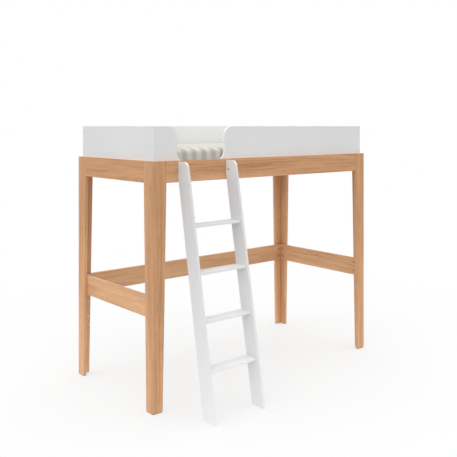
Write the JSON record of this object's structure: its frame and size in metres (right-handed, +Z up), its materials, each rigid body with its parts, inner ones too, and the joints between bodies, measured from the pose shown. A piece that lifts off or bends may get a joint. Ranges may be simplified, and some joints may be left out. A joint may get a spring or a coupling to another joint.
{
  "type": "loft bed",
  "caption": "Raised single bed with L-shaped tapered wooden legs, white guard panels, lower rails on three sides, a slatted base, a striped mattress and a sloping white ladder.",
  "frame": {"origin": "on the floor, at the middle of the box around the whole object, ladder included", "axes": "+X along the bed's length, away from the ladder's end; +Y from the ladder's side to the back; +Z up"},
  "size_m": [2.09, 1.3568, 1.828],
  "materials": {
    "oiled_wood": "satin",
    "white_paint": "satin",
    "slat_wood": "matte",
    "steel": "satin",
    "felt": "matte",
    "mattress_fabric": "matte"
  },
  "bodies": {
    "bed_frame": {"front_left_leg_front_board": "oiled_wood", "front_left_leg_side_board": "oiled_wood", "front_right_leg_front_board": "oiled_wood", "front_right_leg_side_board": "oiled_wood", "back_left_leg_back_board": "oiled_wood", "back_left_leg_side_board": "oiled_wood", "back_right_leg_back_board": "oiled_wood", "back_right_leg_side_board": "oiled_wood", "upper_front_rail": "oiled_wood", "upper_back_rail": "oiled_wood", "upper_left_rail": "oiled_wood", "upper_right_rail": "oiled_wood", "lower_back_rail": "oiled_wood", "lower_left_rail": "oiled_wood", "lower_right_rail": "oiled_wood", "front_guard_panel": "white_paint", "back_guard_panel": "white_paint", "left_guard_panel": "white_paint", "right_guard_panel": "white_paint", "ladder_left_stringer": "white_paint", "ladder_right_stringer": "white_paint", "ladder_tread_1": "white_paint", "ladder_tread_2": "white_paint", "ladder_tread_3": "white_paint", "ladder_tread_4": "white_paint", "front_slat_cleat": "slat_wood", "back_slat_cleat": "slat_wood", "slat_01": "slat_wood", "slat_02": "slat_wood", "slat_03": "slat_wood", "slat_04": "slat_wood", "slat_05": "slat_wood", "slat_06": "slat_wood", "slat_07": "slat_wood", "slat_08": "slat_wood", "slat_09": "slat_wood", "slat_10": "slat_wood", "slat_11": "slat_wood", "slat_12": "slat_wood", "ladder_left_bolt": "steel", "ladder_right_bolt": "steel", "ladder_left_barrel_nut": "steel", "ladder_right_barrel_nut": "steel", "lower_left_rail_bolt_1": "steel", "lower_left_rail_bolt_2": "steel", "lower_left_rail_bolt_3": "steel", "lower_left_rail_bolt_4": "steel", "lower_right_rail_bolt_1": "steel", "lower_right_rail_bolt_2": "steel", "lower_right_rail_bolt_3": "steel", "lower_right_rail_bolt_4": "steel", "lower_back_rail_bolt_1": "steel", "lower_back_rail_bolt_2": "steel", "lower_back_rail_bolt_3": "steel", "lower_back_rail_bolt_4": "steel", "front_left_foot_pad": "felt", "front_right_foot_pad": "felt", "back_left_foot_pad": "felt", "back_right_foot_pad": "felt"},
    "mattress": {"mattress": "mattress_fabric"}
  },
  "joints": [
    {"name": "mattress_lift", "type": "slide", "parent": "bed_frame", "child": "mattress", "axis": [0, 0, 1], "range_m": [0, 0.4]}
  ]
}
